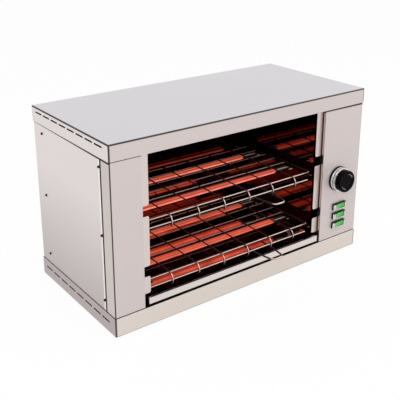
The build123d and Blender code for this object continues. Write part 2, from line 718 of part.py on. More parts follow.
# Switch housings: a raised bezel and a body with a well for the rocker
well_back = PANEL_Y + PIVOT_IN + SWITCH_WELL_D
for i, at in enumerate(SWITCH_AT):
    with BuildPart() as switch_housing:
        with BuildSketch(front_plane(PANEL_Y - FACE_GAP)):
            with Locations(at):
                RectangleRounded(BEZEL_W, BEZEL_H, BEZEL_CORNER_R)
        extrude(amount=BEZEL_OUT)
        with BuildSketch(front_plane(PANEL_Y + SWITCH_BODY_D)):
            with Locations(at):
                Rectangle(SWITCH_BODY_W, SWITCH_BODY_H)
        extrude(amount=SWITCH_BODY_D + FACE_GAP)
        with BuildSketch(front_plane(well_back)):
            with Locations(at):
                Rectangle(ROCKER_W + 2 * ROCKER_GAP, ROCKER_H + 2 * ROCKER_GAP)
        extrude(amount=well_back - PANEL_Y + BEZEL_OUT + SHEET, mode=Mode.SUBTRACT)
        with BuildSketch(Plane.XY.offset(at[1] - ROCKER_H / 2 - PIVOT_L - PIN_GAP)):
            with Locations((at[0], PANEL_Y + PIVOT_IN)):
                Circle(PIVOT_R + PIN_GAP)
        extrude(amount=ROCKER_H + 2 * (PIVOT_L + PIN_GAP), mode=Mode.SUBTRACT)
    finish(switch_housing.part, f"switch_housing_{i + 1}")

# Rockers: lit green lenses that tilt on a pin, drawn in the pressed position
for i, at in enumerate(SWITCH_AT):
    with BuildPart() as rocker:
        tilted = Plane(
            origin=(at[0], PANEL_Y + PIVOT_IN, at[1] - ROCKER_H / 2), x_dir=(1, 0, 0), z_dir=(0, 0, 1)
        ).rotated((0, 0, ROCKER_TILT))
        with BuildSketch(tilted):
            with BuildLine():
                front = Polyline(
                    (-ROCKER_W / 2, ROCKER_BACK),
                    (-ROCKER_W / 2, -ROCKER_HIGH),
                    (0, -ROCKER_LOW),
                    (ROCKER_W / 2, -ROCKER_HIGH),
                    (ROCKER_W / 2, ROCKER_BACK),
                )
                Line(front @ 1, front @ 0)
            make_face()
        extrude(amount=ROCKER_H)
        with BuildSketch(tilted.offset(-PIVOT_L)):
            Circle(PIVOT_R)
        extrude(amount=ROCKER_H + 2 * PIVOT_L)
    finish(rocker.part, f"switch_rocker_{i + 1}")

# Terminal block on the base floor of the control compartment
block_at = (CONTROL_X, Y_BACK - BLOCK_BACK)
block_z = FLOOR_Z + FACE_GAP
with BuildPart() as terminal_block:
    with BuildSketch(Plane.XY.offset(block_z)):
        with Locations(block_at):
            Rectangle(BLOCK_W, BLOCK_D)
    extrude(amount=BLOCK_FOOT_H)
    with BuildSketch(Plane.XY.offset(block_z + BLOCK_FOOT_H)):
        with Locations(block_at):
            Rectangle(BLOCK_W, BLOCK_D - 2 * BLOCK_FOOT_H)
    extrude(amount=BLOCK_H - BLOCK_FOOT_H)
    with BuildSketch(Plane.XY.offset(block_z + BLOCK_H)):
        with Locations(block_at):
            with GridLocations(BLOCK_W / BLOCK_POLES, 1, BLOCK_POLES, 1):
                Circle(BLOCK_HOLE_R)
    extrude(amount=-BLOCK_H / 2, mode=Mode.SUBTRACT)
finish(terminal_block.part, "terminal_block")

# Cable gland through the back panel, and its nut inside
with BuildPart() as cable_gland:
    with BuildSketch(front_plane(Y_BACK - PANEL_IN + FACE_GAP + GLAND_HEX_L)):
        with Locations(GLAND_AT):
            RegularPolygon(GLAND_HEX_R, 6)
    extrude(amount=GLAND_HEX_L)
    with BuildSketch(front_plane(Y_BACK - PANEL_IN + FACE_GAP)):
        with Locations(GLAND_AT):
            Circle(GLAND_THREAD_R)
    extrude(amount=SHEET + FACE_GAP + GLAND_THREAD_IN)
    with BuildSketch(front_plane(Y_BACK + GLAND_REACH)):
        with Locations(GLAND_AT):
            Circle(GLAND_DOME_R)
    extrude(amount=GLAND_REACH + PANEL_IN - FACE_GAP - GLAND_HEX_L)
    fillet(cable_gland.faces().sort_by(Axis.Y)[-1].edges(), COVER_BEND_R)
    with BuildSketch(front_plane(Y_BACK + GLAND_REACH)):
        with Locations(GLAND_AT):
            Circle(GLAND_BORE_R)
    extrude(amount=GLAND_REACH + PANEL_IN + SHEET + GLAND_THREAD_IN, mode=Mode.SUBTRACT)
finish(cable_gland.part, "cable_gland")

with BuildPart() as gland_nut:
    with BuildSketch(front_plane(Y_BACK - PANEL_IN - SHEET - FACE_GAP)):
        with Locations(GLAND_AT):
            RegularPolygon(GLAND_HEX_R, 6)
            Circle(GLAND_THREAD_R + PIN_GAP, mode=Mode.SUBTRACT)
    extrude(amount=GLAND_NUT_L)
finish(gland_nut.part, "gland_nut")

# Wiring loom: leads from the terminal block to the switches
with BuildPart() as wiring_loom:
    for i in range(BLOCK_POLES):
        lead_x = block_at[0] + (i - (BLOCK_POLES - 1) / 2) * LOOM_PITCH
        lead_z = SWITCH_AT[-1][1] + i * (SWITCH_AT[0][1] - SWITCH_AT[-1][1]) / (BLOCK_POLES - 1)
        with BuildLine(Plane.YZ.offset(lead_x)) as route:
            FilletPolyline(
                (block_at[1], block_z + BLOCK_H + FACE_GAP),
                (block_at[1], lead_z),
                (PANEL_Y + SWITCH_BODY_D + FACE_GAP, lead_z),
                radius=LOOM_BEND_R,
            )
        with BuildSketch(Plane(origin=route.line @ 0, z_dir=route.line % 0)):
            Circle(LOOM_R)
        sweep()
finish(wiring_loom.part, "wiring_loom")

# Rubber feet and their screws
with BuildPart() as rubber_feet:
    with BuildSketch():
        with Locations(*FOOT_AT):
            Circle(FOOT_R)
    extrude(amount=FOOT_H - FACE_GAP, taper=4)
    with BuildSketch():
        with Locations(*FOOT_AT):
            Circle(FOOT_RECESS_R)
    extrude(amount=FOOT_RECESS_H, mode=Mode.SUBTRACT)
    with BuildSketch():
        with Locations(*FOOT_AT):
            Circle(SCREW_R + SCREW_GAP)
    extrude(amount=FOOT_H, mode=Mode.SUBTRACT)
finish(rubber_feet.part, "rubber_feet")


def screw(plane):
    """A pan-head screw whose head sits on the plane and whose shank runs behind it."""
    with BuildSketch(plane) as head:
        Circle(SCREW_HEAD_R)
    extrude(head.sketch, amount=SCREW_HEAD_H, taper=15)
    with BuildSketch(plane) as shank:
        Circle(SCREW_R)
    extrude(shank.sketch, amount=-SCREW_L)


with BuildPart() as foot_screws:
    for x, y in FOOT_AT:
        screw(Plane(origin=(x, y, FOOT_RECESS_H - FACE_GAP), z_dir=(0, 0, -1)))
finish(foot_screws.part, "foot_screws")

# Side screws hold the covers, back screws hold the back panel
for side in EDGE:
    out = -INWARD[side]
    head_x = (X_LEFT if side == "left" else X_RIGHT) - out * (PANEL_IN - FACE_GAP)
    with BuildPart() as side_screws:
        for y, z in SIDE_SCREW_AT:
            screw(Plane(origin=(head_x, y, z), z_dir=(out, 0, 0)))
    finish(side_screws.part, f"{side}_side_screws")

with BuildPart() as back_screws:
    for x, z in BACK_SCREW_AT:
        screw(Plane(origin=(x, Y_BACK + FACE_GAP, z), z_dir=(0, 1, 0)))
finish(back_screws.part, "back_screws")
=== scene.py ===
"""Dress the frame of a salamander toaster: finishes, wound coils, screws and a plain studio."""

import math

import bmesh
import bpy
from bpy.props import FloatProperty, FloatVectorProperty, IntProperty, PointerProperty
from bpy.types import Operator, Panel, PropertyGroup
from mathutils import Matrix, Vector


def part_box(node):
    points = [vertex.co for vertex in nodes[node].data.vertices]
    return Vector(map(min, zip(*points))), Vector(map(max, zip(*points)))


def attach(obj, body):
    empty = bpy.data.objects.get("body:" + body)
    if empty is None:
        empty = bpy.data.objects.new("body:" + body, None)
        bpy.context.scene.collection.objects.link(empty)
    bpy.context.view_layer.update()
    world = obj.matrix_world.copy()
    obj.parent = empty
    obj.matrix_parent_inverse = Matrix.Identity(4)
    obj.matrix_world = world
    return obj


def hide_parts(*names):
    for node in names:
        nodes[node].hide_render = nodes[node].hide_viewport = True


bl_info = {
    "name": "Salamander Toaster",
    "version": (1, 0, 0),
    "blender": (4, 5, 0),
    "location": "3D View > Sidebar > Toaster",
    "description": "Finishes and small parts of a countertop salamander toaster",
    "category": "Object",
}

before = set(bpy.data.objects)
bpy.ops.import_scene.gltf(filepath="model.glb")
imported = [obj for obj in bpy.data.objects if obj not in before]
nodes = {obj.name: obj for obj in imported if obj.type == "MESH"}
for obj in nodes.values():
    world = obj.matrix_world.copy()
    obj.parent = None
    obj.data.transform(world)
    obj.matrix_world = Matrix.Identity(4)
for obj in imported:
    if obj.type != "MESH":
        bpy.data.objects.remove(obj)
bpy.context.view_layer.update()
MM = 0.001

# Sizes that the finishes and the small pieces follow
EDGE = 0.01 * MM  # width of a mask's edge that looks sharp
FLANGE_WIDTH = 14.5 * MM  # front flange of a cavity wall
BOTTOM_LEVEL = 110 * MM  # height under which the bottom tubes are
UNLIT_END = 46 * MM  # from a cavity wall to the first turn of a coil
LEAD_BEND = 5 * MM  # from a coil's last turn to where its lead is straight
LEAD_RADIUS = 0.9 * MM
SHANK_RADIUS = 1.5 * MM  # shank of a screw
HEAD_HEIGHT = 1.6 * MM  # head of a screw
# The knob's two arcs are painted highlights
ARC_INNER = 13.2 * MM  # radii of the bright arcs on the knob
ARC_OUTER = 14.6 * MM
CARD_BEHIND = 17 * MM  # from the racks' front wires to the black card

# Groups of nodes that share a finish
SHEETS = (
    "top_cover",
    "base_tray",
    "left_front_panel",
    "control_panel",
    "left_side_cover",
    "right_side_cover",
    "back_panel",
)
CAVITY_SHEETS = ("cavity_left_wall", "cavity_right_wall", "cavity_back_wall", "cavity_ceiling")
LEDGES = tuple(
    f"{ledge}_{side}"
    for ledge in ("upper_rack_rail", "lower_rack_rail", "tray_runner")
    for side in ("left", "right")
)
SHELVES = ("upper_rack", "lower_rack")
TUBES = tuple(
    f"{level}_{row}" for level in ("top", "middle", "bottom") for row in ("front", "back")
)
ROCKERS = ("1", "2", "3")
SCREWS = {
    "left_side_screws": (-1, 0, 0),
    "right_side_screws": (1, 0, 0),
    "back_screws": (0, 1, 0),
    "foot_screws": (0, 0, -1),
}


def tone(code):
    """Turn a screen colour such as #d3c8c4 into the linear colour that a shader uses."""
    channels = [int(code[i : i + 2], 16) / 255 for i in (1, 3, 5)]
    return tuple(c / 12.92 if c <= 0.04045 else ((c + 0.055) / 1.055) ** 2.4 for c in channels)


def colour(name, description, code):
    """A colour property with its default as a screen colour."""
    return FloatVectorProperty(
        name=name, description=description, default=tone(code), subtype="COLOR", min=0.0, max=1.0
    )


def length(name, description, millimetres):
    """A length property with its default in millimetres."""
    return FloatProperty(
        name=name, description=description, default=millimetres * MM, unit="LENGTH", min=0.0
    )


def share(name, description, default):
    """A property from 0 to 1."""
    return FloatProperty(
        name=name, description=description, default=default, subtype="FACTOR", min=0.0, max=1.0
    )


def strength(name, description, default):
    """A light strength property."""
    return FloatProperty(name=name, description=description, default=default, min=0.0)


class CabinetFinish(PropertyGroup):
    """Colours of the satin sheets"""

    # Painted light and shade: top is the lighter colour of sheets that face up, and side_low,
    # side_high and base_side paint the sides darker towards their foot
    front: colour("Front", "Colour of sheets that face the front or the back", "#cabfbc")
    base: colour("Base", "Colour of the base's front flange", "#d6ccc3")
    top: colour("Top", "Colour of sheets that face up", "#d3d0d4")
    side_high: colour("Side, high", "Colour at the top of the sides", "#e2dad8")
    side_low: colour("Side, low", "Colour at the foot of the sides", "#b6acaa")
    base_side: colour("Base, side", "Colour of the base's side flanges", "#b3a7a6")
    wrap: colour("Wrap", "Colour of the front panels' sides", "#cfc4c0")
    edge: colour("Return", "Colour of the front panels' edges by the opening", "#d6bfb3")
    # glint is a painted highlight beside each seam
    glint: colour("Glint", "Colour of the bright line beside a side cover's seam", "#faf5f3")
    # bend is painted shade along the folds, the top's edge and the front corners
    bend: colour("Bend", "Colour of the folds' rounded edges", "#1d1513")
    gap: colour("Gap", "Colour of the shadow beside a flange or a seam", "#150e0d")
    roughness: share("Roughness", "How satin the sheets are", 0.36)
    grain: share("Grain", "How much the brushed lines show", 0.05)
    gap_width: length("Gap width", "Width of the shadow beside a flange", 1.6)


class CavityFinish(PropertyGroup):
    """Colours of the cavity's polished sheets"""

    mirror: colour("Mirror", "Colour of the polished walls, tarnished by heat", "#a0705f")
    back: colour("Back", "Colour of the back and ceiling, tarnished by heat", "#d6a394")
    pan: colour("Pan", "Colour of the crumb tray's pan", "#f0c4b6")
    stain: colour("Stain", "Colour of the stains on the cavity's sheets", "#70453a")
    # band_low and band_high bound the back's painted reflection band; above and below it the sheet
    # gets painted shade
    band_low: length("Band, low", "Where the back's bright band starts", 100.0)
    band_high: length("Band, high", "Where the back's bright band ends", 155.0)
    flange: colour("Flange", "Colour of the walls' front flanges", "#dacdc8")
    tray: colour("Tray", "Colour of the crumb tray's front", "#ded3cf")
    roughness: share("Roughness", "How blurred the reflections are", 0.05)


class HeaterFinish(PropertyGroup):
    """Colours and sizes of the heating tubes"""

    glow: colour("Glow", "Colour of the lit coil", "#ff4d2a")
    upper: colour("Haze, upper", "Colour of the lit quartz above its middle", "#cc5036")
    line: colour("Haze, line", "Colour of the lit quartz between the two", "#7a2010")
    lower: colour("Haze, lower", "Colour of the lit quartz below its middle", "#ff8f7b")
    rim: colour("Haze, rim", "Colour of the lit quartz at its top and bottom", "#2c0a05")
    # quartz is the colour of a painted highlight, a narrow pale band on the unlit quartz, which is
    # near black elsewhere
    quartz: colour("Quartz", "Colour of the unlit quartz", "#cfc7c2")
    cap: colour("Cap", "Colour of the ceramic end caps", "#ece8e2")
    wire_radius: length("Coil wire radius", "Radius of the wound wire", 0.55)
    pitch: length("Coil pitch", "Distance from turn to turn", 2.0)
    power: strength("Power", "Strength of the coil's light", 0.9)
    sides: IntProperty(name="Wire sides", description="Sides of the wound wire", default=6, min=3)
    steps: IntProperty(name="Turn steps", description="Steps in a turn", default=12, min=6)


class WireFinish(PropertyGroup):
    """Colours of the racks' wire"""

    # wire is the painted highlight colour where the wire faces the front and up, shade is painted
    # shade on its sides and undersides, and scorch is heat browning tinted pink as painted red
    # light
    wire: colour("Wire", "Colour of the chromed wire", "#d2bcb4")
    scorch: colour("Scorch", "Colour of wire browned by heat", "#c0a095")
    shade: colour("Shade", "Colour of the wires' sides and undersides", "#3a2f2b")
    roughness: share("Roughness", "How blurred the reflections are", 0.14)


class ControlFinish(PropertyGroup):
    """Colours of the knob and the switches"""

    knob: colour("Knob", "Colour of the grip", "#070405")
    arc_highlight: colour("Arc", "Colour of the two arcs on the grip's face", "#8f8b8b")
    chrome: colour("Chrome", "Colour of the knob's ring", "#f4f2f0")
    dial: colour("Dial", "Colour of the collar behind the knob", "#050303")
    bezel: colour("Bezel", "Colour of the switch housings", "#060404")
    bezel_face_highlight: colour("Bezel face", "Colour of the bezels' front frames", "#dcdfd6")
    # bezel_face_highlight is a painted highlight on the bezels' front frames
    lens: colour("Lens", "Colour of the lit lenses", "#35993b")
    lens_end: colour("Lens end", "Colour of the pale end of a lens", "#dfe6d8")


class SmallPartFinish(PropertyGroup):
    """Colours and sizes of screws, feet and wiring"""

    screw: colour("Screw", "Colour of the screws", "#2b2624")
    rubber: colour("Rubber", "Colour of the feet", "#1b1a1a")
    nylon: colour("Nylon", "Colour of the cable gland", "#222021")
    insulation: colour("Insulation", "Colour of the leads", "#7c4a3c")
    block: colour("Block", "Colour of the terminal block", "#ded9cd")
    case: colour("Case", "Colour of the timer's case", "#c8c6c2")
    recess: length("Recess", "Depth of the cross in a screw's head", 0.7)


class StageSettings(PropertyGroup):
    """Floor, lights and camera"""

    floor: colour("Floor", "Colour of the floor", "#fcfcfc")
    key: strength("Key light", "Power of the large light on the left, in watts", 26.0)
    fill: strength("Fill light", "Power of the light on the right, in watts", 10.0)
    ambient: strength("Ambient", "Strength of the light from all round", 0.72)
    lens: FloatProperty(name="Lens", description="Focal length in millimetres", default=64.5)
    shift: FloatProperty(name="Shift", description="Vertical shift of the frame", default=-0.15)
    azimuth: FloatProperty(
        name="Azimuth",
        description="Direction of the camera round the toaster",
        default=math.radians(-36.581),
        subtype="ANGLE",
    )
    elevation: FloatProperty(
        name="Elevation",
        description="Height of the camera above the horizon",
        default=math.radians(18.675),
        subtype="ANGLE",
    )
    place: FloatVectorProperty(
        name="Camera",
        description="Where the camera stands",
        default=(-0.7225, -0.9480, 0.6416),
        subtype="TRANSLATION",
        unit="LENGTH",
    )


GROUPS = {
    "toaster_cabinet": CabinetFinish,
    "toaster_cavity": CavityFinish,
    "toaster_heater": HeaterFinish,
    "toaster_wire": WireFinish,
    "toaster_control": ControlFinish,
    "toaster_small": SmallPartFinish,
    "toaster_stage": StageSettings,
}


class Wire:
    """An output of a shader node that takes part in Python arithmetic."""

    def __init__(self, finish, socket):
        self.finish = finish
        self.socket = socket

    def math(self, operation, *others, clamp=False):
        """Add a Math node whose first value is this one."""
        return self.finish.math(operation, self, *others, clamp=clamp)

    def __add__(self, other):
        return self.math("ADD", other)

    def __radd__(self, other):
        return self.math("ADD", other)

    def __sub__(self, other):
        return self.math("SUBTRACT", other)

    def __rsub__(self, other):
        return self.finish.math("SUBTRACT", other, self)

    def __mul__(self, other):
        return self.math("MULTIPLY", other)

    def __rmul__(self, other):
        return self.math("MULTIPLY", other)

    def __truediv__(self, other):
        return self.math("DIVIDE", other)

    def __abs__(self):
        return self.math("ABSOLUTE")

    def larger(self, other):
        """The larger of this value and another."""
        return self.math("MAXIMUM", other)

    def clamped(self):
        """This value kept between 0 and 1."""
        return self.math("ADD", 0.0, clamp=True)

    def step(self, low, high):
        """0 below one value and 1 above the other, or the other way round."""
        return ((self - low) / (high - low)).clamped()

    def within(self, low, high, soft):
        """1 between two values, with soft edges inside them."""
        return self.step(low, low + soft) * self.step(high, high - soft)


class Finish:
    """A material or world whose nodes are made by type, settings and sockets."""

    def __init__(self, name, owner=None):
        self.owner = owner or bpy.data.materials.new(name)
        self.owner.use_nodes = True
        self.tree = self.owner.node_tree
        self.tree.nodes.clear()

    def node(self, kind, settings=None, sockets=None):
        """Add a node, with its settings first and then its sockets' values or links."""
        node = self.tree.nodes.new("ShaderNode" + kind)
        for key, value in (settings or {}).items():
            if key == "stops":
                ramp = node.color_ramp
                while len(ramp.elements) < len(value):
                    ramp.elements.new(1.0)
                for stop, (position, shade) in zip(ramp.elements, value):
                    stop.position = position
                    stop.color = (*shade, 1.0)
            else:
                setattr(node, key, value)
        for key, value in (sockets or {}).items():
            socket = node.inputs[key]
            if isinstance(value, Wire):
                self.tree.links.new(value.socket, socket)
            elif socket.type == "RGBA":
                socket.default_value = (*value[:3], 1.0)
            else:
                socket.default_value = value
        return node

    def wire(self, kind, settings=None, sockets=None, output=0):
        """Add a node and return one of its outputs."""
        return Wire(self, self.node(kind, settings, sockets).outputs[output])

    def math(self, operation, *values, clamp=False):
        """Work out a value from values or wires."""
        settings = {"operation": operation, "use_clamp": clamp}
        return self.wire("Math", settings, dict(enumerate(values)))

    def mix(self, factor, first, second):
        """Go from one colour to another."""
        return self.wire("Mix", {"data_type": "RGBA"}, {0: factor, 6: first, 7: second}, output=2)

    def place(self):
        """The point on the surface, in the piece's own metres."""
        return self.wire("TexCoord", output="Object")

    def split(self, vector):
        """The three parts of a vector."""
        node = self.node("SeparateXYZ", None, {0: vector})
        return [Wire(self, node.outputs[i]) for i in range(3)]

    def join(self, x, y, z):
        """A vector from three parts."""
        return self.wire("CombineXYZ", None, {0: x, 1: y, 2: z})

    def facing(self):
        """The parts of the surface's normal."""
        return self.split(self.wire("NewGeometry", output="Normal"))

    def seen(self):
        """1 for rays from the camera, off metal or through glass, which see the background."""
        rays = self.node("LightPath")
        seen = Wire(self, rays.outputs["Is Camera Ray"])
        for ray in ("Is Glossy Ray", "Is Transmission Ray"):
            seen = seen.larger(Wire(self, rays.outputs[ray]))
        return seen

    def noise(self, vector, scale, detail=2.0):
        """Smooth noise from 0 to 1."""
        return self.wire("TexNoise", None, {"Vector": vector, "Scale": scale, "Detail": detail})

    def bump(self, height, depth, amount=1.0):
        """A normal that follows a height from 0 to 1, whose full height is a depth in metres."""
        return self.wire(
            "Bump", None, {"Height": height, "Distance": depth, "Strength": amount}
        )

    def surface(self, **sockets):
        """Close the material with a shader whose sockets are named in words joined by _."""
        named = {key.replace("_", " "): value for key, value in sockets.items()}
        shader = self.wire("BsdfPrincipled", None, named)
        self.node("OutputMaterial", None, {"Surface": shader})
        return self.owner


def coat_nodes(names, material):
    """Give one material to all the slots of some nodes."""
    for name in names:
        mesh = nodes[name].data
        if not mesh.materials:
            mesh.materials.append(material)
        for slot in range(len(mesh.materials)):
            mesh.materials[slot] = material


def satin_steel(cabinet):
    """Satin stainless sheet with brushed lines; its tones by facing and height, its dark bends and
    the bright line by each seam are painted light and shade, and it has painted shadow beside its
    flanges.
    """
    finish = Finish("satin_steel")
    place = finish.place()
    x, y, z = finish.split(place)
    nx, ny, nz = finish.facing()
    base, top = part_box("base_tray"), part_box("top_cover")
    base_z, flange_z = base[1].z, top[0].z
    up = nz.step(0.6, 0.9)
    side = abs(nx).step(0.6, 0.9)
    outer = abs(x).step(top[1].x - 12 * MM, top[1].x - 8 * MM)
    between = z.within(base_z, flange_z, EDGE)
    low = z.step(base_z + EDGE, base_z - EDGE)

    # Tones: painted light and shade by facing, the top lighter than the front; the sides go from
    # dark to light, painted shade towards their foot; the front panels' sides have tones of their
    # own
    cloud = finish.noise(place, 7.0, 1.0)
    rise = (z - base[0].z) / (top[1].z - base[0].z) + (cloud - 0.5) * 0.12
    seam_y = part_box("left_side_cover")[0].y
    wrap = y.step(seam_y, seam_y - 10 * EDGE) * between
    side_tone = finish.mix(rise.step(0.02, 0.7), cabinet.side_low, cabinet.side_high)
    side_tone = finish.mix(wrap, side_tone, cabinet.wrap)
    side_tone = finish.mix(low, side_tone, cabinet.base_side)
    side_tone = finish.mix(outer, cabinet.edge, side_tone)
    front = finish.mix(low, cabinet.front, cabinet.base)
    sheet = finish.mix(up, front, cabinet.top)
    sheet = finish.mix(side, sheet, side_tone)

    # Brushed lines run along the sheets
    fine, coarse = 2600.0, 26.0
    front_lines = finish.noise(finish.join(x * coarse, y * fine, z * fine), 1.0)
    side_lines = finish.noise(finish.join(x * fine, y * coarse, z * fine), 1.0)
    lines = front_lines * (1 - side) + side_lines * side
    shade = 1 + (lines - 0.5) * cabinet.grain + (cloud - 0.5) * (0.6 * cabinet.grain)
    sheet = finish.mix(1 - shade, sheet, (0.0, 0.0, 0.0))

    # Dark rims of painted shade: bends, the top's edge and the cabinet's front corners
    width = cabinet.gap_width
    steepest = abs(nx).larger(abs(ny)).larger(abs(nz))
    bend = steepest.step(0.9998, 0.985)
    top_rim = (1 - up) * z.step(top[1].z - 1.6 * width, top[1].z - 1.4 * width)
    corner = abs(x).step(top[1].x - 1.9 * width, top[1].x - 1.1 * width)
    corner = corner * abs(ny).step(0.8, 0.9)
    rim = bend.larger(top_rim).larger(corner)

    # Shadow: under the top's flange, over the base's, beside the seams and the opening
    wedge = 1 + side * y.step(top[1].y, top[0].y) * 1.6
    wedge = wedge + (1 - side) * x.step(0.0, top[1].x) * 1.3
    under_flange = between * ((z - flange_z) / (wedge * width)).step(-1.1, -0.9)
    over_base = between * z.step(base_z + 0.8 * width, base_z + 0.6 * width)
    by_seam = side * outer * between
    seam = by_seam * y.step(seam_y - 2.2 * width, seam_y - 2.0 * width)
    seam = seam * y.step(seam_y + 0.6 * width, seam_y + 0.5 * width)
    panel_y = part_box("control_panel")[0].y
    crease = y.step(panel_y + 1.0 * MM, panel_y + 0.8 * MM)
    crease = crease.larger(y.step(panel_y + 3.8 * MM, panel_y + 4.0 * MM))
    crease = crease * side * (1 - outer)
    shadow = under_flange.larger(over_base).larger(seam).larger(crease)

    # A painted highlight, a bright line, runs behind each seam
    glint = by_seam * y.step(seam_y + 0.6 * width, seam_y + 0.7 * width)
    glint = glint * y.step(seam_y + 3.2 * width, seam_y + 3.0 * width)
    sheet = finish.mix(glint * 0.8, sheet, cabinet.glint)
    sheet = finish.mix(rim * 0.94, sheet, cabinet.bend)
    return finish.surface(
        Base_Color=finish.mix(shadow, sheet, cabinet.gap),
        Metallic=1 - (1 - up) * (1 - side) * 0.75,
        Roughness=cabinet.roughness + (lines - 0.5) * 0.12 + (cloud - 0.5) * 0.1,
        Normal=finish.bump(lines, 4e-6),
    )


def polished_steel(name, cavity, clean, low=0.0, high=1.0):
    """Polished sheet, darkened by painted shade outside a band of heights so that the band reads
    as a painted reflection of the tubes, with satin front flanges.
    """
    finish = Finish(name)
    place = finish.place()
    x, y, z = finish.split(place)
    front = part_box("cavity_left_wall")[0].y
    flange = y.step(front + 1.3 * MM, front + 1.1 * MM)
    stain = finish.noise(place, 9.0, 4.0)
    smear = finish.noise(finish.join(x * 3.0, y * 3.0, z * 40.0), 4.0, 3.0)
    soft = 8 * MM
    # Painted shade: outside the band the sheet is darkened to 0.3, so the band stands out as a
    # painted reflection of the tubes
    band = z.within(low - soft, high + soft, soft)
    clean = finish.mix(band, tuple(0.3 * c for c in clean), clean)
    mirror = finish.mix(stain.step(0.35, 0.75) * 0.5, clean, cavity.stain)
    roughness = cavity.roughness + (smear - 0.5) * 0.1
    return finish.surface(
        Base_Color=finish.mix(flange, mirror, cavity.flange),
        Metallic=1.0,
        Roughness=roughness * (1 - flange) + flange * 0.35,
        Normal=finish.bump(smear, 2e-5, 0.4),
    )


def ledge_steel(cavity):
    """Bright angle on the cavity's walls, browned by heat."""
    finish = Finish("ledge_steel")
    place = finish.place()
    stain = finish.noise(place, 26.0, 4.0)
    fine = finish.noise(place, 900.0, 2.0)
    clean, brown = tuple(0.8 * c for c in cavity.mirror), (0.10, 0.06, 0.045)
    return finish.surface(
        Base_Color=finish.mix(stain.step(0.3, 0.7), clean, brown),
        Metallic=1.0,
        Roughness=0.24 + (fine - 0.5) * 0.2,
        Normal=finish.bump(fine, 6e-6),
    )


def tray_steel(cavity):
    """Crumb tray: a satin front and a bright pan with a few stains."""
    finish = Finish("tray_steel")
    place = finish.place()
    x, y, z = finish.split(place)
    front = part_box("crumb_tray")[0].y
    lip = y.step(front + 5.4 * MM, front + 5.0 * MM)
    lines = finish.noise(finish.join(x * 26.0, y * 2600.0, z * 2600.0), 1.0)
    stain = finish.noise(place, 14.0, 5.0)
    pan = finish.mix(stain.step(0.5, 0.75), cavity.pan, (0.3, 0.15, 0.1))
    return finish.surface(
        Base_Color=finish.mix(lip, pan, cavity.tray),
        Metallic=1.0,
        Roughness=0.06 + lip * 0.28 + (lines - 0.5) * 0.04,
        Normal=finish.bump(lines, 4e-6),
    )


def chromed_wire(wire):
    """Chromed wire with a painted highlight where it faces the front and up and painted shade
    elsewhere, browned deep in the heat and tinted pink there as painted light from the tubes.
    """
    finish = Finish("chromed_wire")
    place = finish.place()
    y = finish.split(place)[1]
    ny, nz = finish.facing()[1:]
    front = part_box("upper_rack")[0].y
    deep = y.step(front + 80 * MM, front + 95 * MM)
    stain = finish.noise(place, 60.0, 3.0)
    browning = (deep * (0.5 + 0.5 * stain)).clamped()
    # Painted highlight where the wire faces the front and up; painted shade on the rest
    bright = (nz * 0.55 - ny * 0.83).step(0.5, 0.85)
    fine = finish.noise(place, 1400.0, 2.0)
    plating = finish.mix(browning, wire.wire, wire.scorch)
    return finish.surface(
        Base_Color=finish.mix(bright, wire.shade, plating),
        Metallic=0.5,
        Roughness=wire.roughness + browning * 0.12 + (fine - 0.5) * 0.08,
        Normal=finish.bump(fine, 4e-6),
    )


def quartz_glass(heater):
    """Quartz tube: hazy and lit along the coil, clear with a painted pale highlight at its ends.
    """
    finish = Finish("quartz_glass")
    place = finish.place()
    x, y, z = finish.split(place)
    left, right = lit_ends()
    ragged = finish.noise(place, 240.0, 2.0) * (6 * MM)
    lit = (x + ragged).step(left, left + 5 * MM) * (x - ragged).step(right, right - 5 * MM)
    streak = finish.noise(finish.join(x * 6.0, y * 900.0, z * 900.0), 1.0, 2.0)
    flicker = finish.noise(place, 45.0, 2.0)

    # Tones of the lit haze round the tube, from its underside at 0 to its top at 1
    rim, line = tuple(heater.rim), tuple(heater.line)
    upper, lower = tuple(heater.upper), tuple(heater.lower)
    stops = [
        (0.12, rim),
        (0.19, lower),
        (0.44, lower),
        (0.56, upper),
        (0.66, line),
        (0.71, line),
        (0.78, upper),
        (0.93, upper),
        (0.975, rim),
    ]
    height = finish.facing()[2].step(-1.0, 1.0)
    haze = finish.wire("ValToRGB", {"stops": stops}, {"Fac": height})
    bottom = z.step(BOTTOM_LEVEL + 10 * MM, BOTTOM_LEVEL - 10 * MM) * 0.6
    haze = finish.mix(bottom, haze, upper)
    haze = finish.mix((flicker - 0.4).larger(0.0) * 1.4, haze, line)
    # Unlit quartz: near black, with a painted highlight in a narrow band above its middle
    clear = finish.mix(height.within(0.6, 0.84, 0.06), (0.035, 0.03, 0.027), heater.quartz)
    return finish.surface(
        Base_Color=finish.mix(lit, clear, (0.3, 0.08, 0.05)),
        Roughness=0.05 + streak * 0.06,
        IOR=1.46,
        Transmission_Weight=0.2,
        Emission_Color=finish.mix(lit, (0.0, 0.0, 0.0), haze),
        Emission_Strength=0.85,
        Normal=finish.bump(streak, 8e-6),
    )


def lit_ends():
    """Where the wound part of the coils starts and ends along X."""
    low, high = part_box("cavity_left_wall")[1].x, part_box("cavity_right_wall")[0].x
    return low - FLANGE_WIDTH + UNLIT_END, high + FLANGE_WIDTH - UNLIT_END


